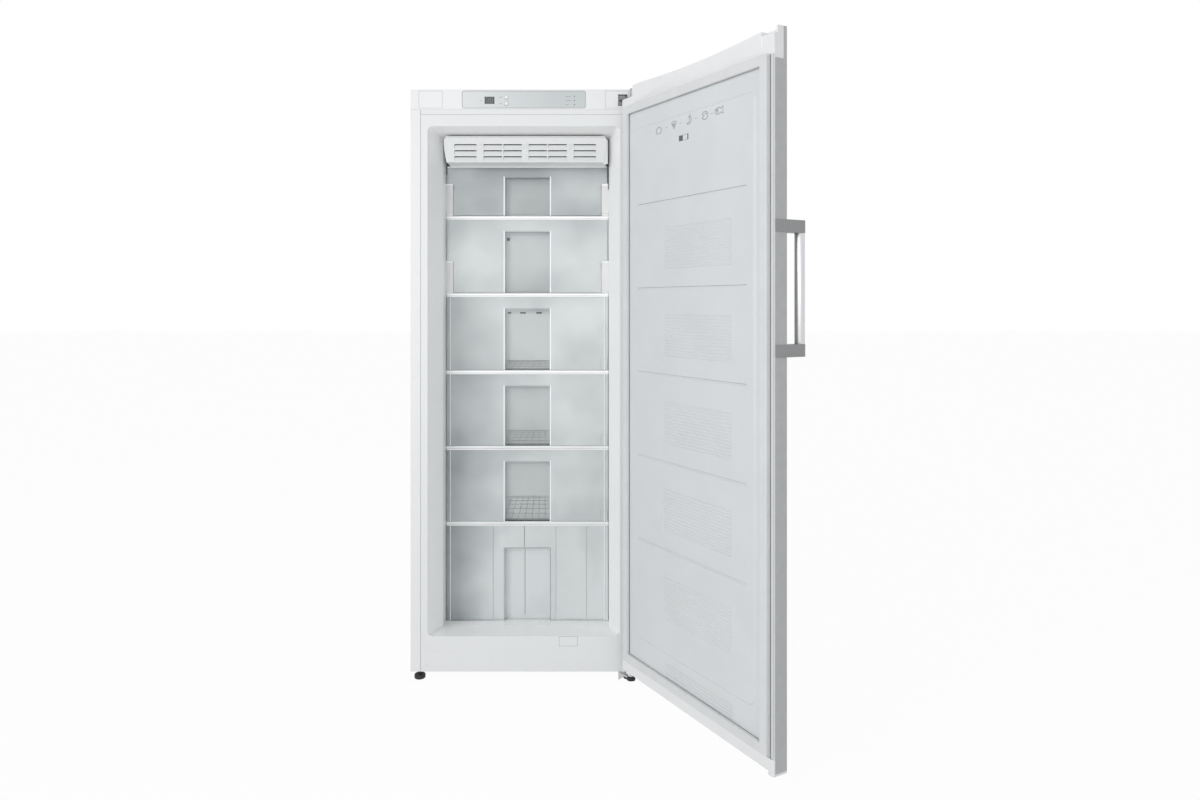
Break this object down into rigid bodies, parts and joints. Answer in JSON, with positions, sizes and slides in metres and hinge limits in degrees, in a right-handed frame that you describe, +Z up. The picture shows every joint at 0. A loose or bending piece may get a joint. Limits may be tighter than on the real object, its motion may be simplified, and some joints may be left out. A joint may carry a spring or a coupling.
{
  "type": "upright freezer",
  "caption": "Tall free-standing freezer with its right-hinged door open, showing clear flaps and drawers on glass shelves, an air outlet, a control panel and a bar handle.",
  "frame": {"origin": "on the floor, under the middle of the bounding box of the whole with the door open", "axes": "+X to the viewer's right, +Y from the front to the back, +Z up"},
  "size_m": [0.9219, 1.1098, 1.5517],
  "materials": {
    "white_enamel": "smooth white enamel",
    "silver_enamel": "satin silver-grey enamel",
    "galvanised": "zinc-coated sheet",
    "hinge_steel": "zinc-plated steel",
    "white_liner": "white moulded polystyrene",
    "foam": "rigid foam",
    "white_plastic": "white moulded plastic",
    "grey_panel": "light grey plastic",
    "display": "dark window",
    "lamps": "small dark lenses",
    "buttons": "grey moulded plastic",
    "clear_front": "frosted clear plastic",
    "clear_basket": "clear plastic",
    "shelf_glass": "toughened glass",
    "silver_trim": "silver plastic",
    "compressor_black": "black enamel",
    "condenser_black": "black enamel",
    "black_plastic": "black moulded plastic",
    "rubber_mounts": "soft black rubber",
    "grey_pan": "grey moulded plastic",
    "evaporator_alu": "bare aluminium",
    "white_fan": "white moulded plastic",
    "seal": "pale soft seal",
    "handle_grey": "satin grey plastic",
    "handle_alu": "satin anodised"
  },
  "bodies": {
    "cabinet": {"outer_shell": "white_enamel", "back_panel": "galvanised", "base_tray": "galvanised", "inner_liner": "white_liner", "cabinet_insulation": "foam", "control_fascia": "white_plastic", "control_panel": "grey_panel", "display_window": "display", "indicator_lamps": "lamps", "hinge_covers": "white_plastic", "evaporator_cover": "white_plastic", "evaporator_tube": "evaporator_alu", "evaporator_fins": "evaporator_alu", "fan_motor": "black_plastic", "air_duct": "white_liner", "shelf_1": "shelf_glass", "shelf_2": "shelf_glass", "shelf_3": "shelf_glass", "shelf_4": "shelf_glass", "shelf_5": "shelf_glass", "shelf_trims": "silver_trim", "flap_brackets": "white_plastic", "compressor": "compressor_black", "compressor_grommets": "rubber_mounts", "relay_cover": "black_plastic", "drip_pan": "grey_pan", "condenser_tube": "condenser_black", "condenser_wires": "condenser_black", "cord_gland": "black_plastic", "roller_axles": "hinge_steel", "top_hinge_bracket": "hinge_steel", "bottom_hinge_bracket": "hinge_steel", "screws": "hinge_steel"},
    "door": {"door_skin": "silver_enamel", "door_liner": "white_liner", "door_insulation": "foam", "door_top_cap": "white_plastic", "door_bottom_cap": "white_plastic", "hinge_bushes": "white_fan", "door_gasket": "seal", "handle_blocks": "handle_grey", "handle_bar": "handle_alu"},
    "upper_flap": {"upper_flap": "clear_front"},
    "lower_flap": {"lower_flap": "clear_front"},
    "bottom_drawer": {"bottom_drawer_front": "clear_front", "bottom_drawer_basket": "clear_basket"},
    "lower_drawer": {"lower_drawer_front": "clear_front", "lower_drawer_basket": "clear_basket"},
    "middle_drawer": {"middle_drawer_front": "clear_front", "middle_drawer_basket": "clear_basket"},
    "upper_drawer": {"upper_drawer_front": "clear_front", "upper_drawer_basket": "clear_basket"},
    "power_button": {"power_button": "buttons"},
    "set_button": {"set_button": "buttons"},
    "left_foot": {"left_foot": "black_plastic"},
    "right_foot": {"right_foot": "black_plastic"},
    "left_roller": {"left_roller": "black_plastic"},
    "right_roller": {"right_roller": "black_plastic"},
    "fan_rotor": {"fan_rotor": "white_fan"}
  },
  "joints": [
    {"name": "door_hinge", "type": "hinge", "parent": "cabinet", "child": "door", "pos_m": [0.11654, -0.04495, 0.78], "axis": [0, 0, 1], "range_deg": [-119.6, 10.4]},
    {"name": "upper_flap_hinge", "type": "hinge", "parent": "cabinet", "child": "upper_flap", "pos_m": [-0.16346, 0.09825, 1.306], "axis": [1, 0, 0], "range_deg": [0, 85]},
    {"name": "lower_flap_hinge", "type": "hinge", "parent": "cabinet", "child": "lower_flap", "pos_m": [-0.16346, 0.09825, 1.0937], "axis": [1, 0, 0], "range_deg": [0, 85]},
    {"name": "upper_drawer_slide", "type": "slide", "parent": "cabinet", "child": "upper_drawer", "axis": [0, -1, 0], "range_m": [0, 0.28]},
    {"name": "middle_drawer_slide", "type": "slide", "parent": "cabinet", "child": "middle_drawer", "axis": [0, -1, 0], "range_m": [0, 0.28]},
    {"name": "lower_drawer_slide", "type": "slide", "parent": "cabinet", "child": "lower_drawer", "axis": [0, -1, 0], "range_m": [0, 0.28]},
    {"name": "bottom_drawer_slide", "type": "slide", "parent": "cabinet", "child": "bottom_drawer", "axis": [0, -1, 0], "range_m": [0, 0.15]},
    {"name": "power_button_press", "type": "slide", "parent": "cabinet", "child": "power_button", "axis": [0, 1, 0], "range_m": [0, 0.0012], "stiffness_N_per_m": 600},
    {"name": "set_button_press", "type": "slide", "parent": "cabinet", "child": "set_button", "axis": [0, 1, 0], "range_m": [0, 0.0012], "stiffness_N_per_m": 600},
    {"name": "left_foot_turn", "type": "hinge", "parent": "cabinet", "child": "left_foot", "pos_m": [-0.43896, -0.00475, 0.02], "axis": [0, 0, 1], "continuous": true},
    {"name": "right_foot_turn", "type": "hinge", "parent": "cabinet", "child": "right_foot", "pos_m": [0.11204, -0.00475, 0.02], "axis": [0, 0, 1], "continuous": true},
    {"name": "left_roller_turn", "type": "hinge", "parent": "cabinet", "child": "left_roller", "pos_m": [-0.42546, 0.48525, 0.0105], "axis": [1, 0, 0], "continuous": true},
    {"name": "right_roller_turn", "type": "hinge", "parent": "cabinet", "child": "right_roller", "pos_m": [0.09854, 0.48525, 0.0105], "axis": [1, 0, 0], "continuous": true},
    {"name": "fan_turn", "type": "hinge", "parent": "cabinet", "child": "fan_rotor", "pos_m": [-0.16346, 0.36425, 1.387], "axis": [0, 0, 1], "continuous": true}
  ]
}
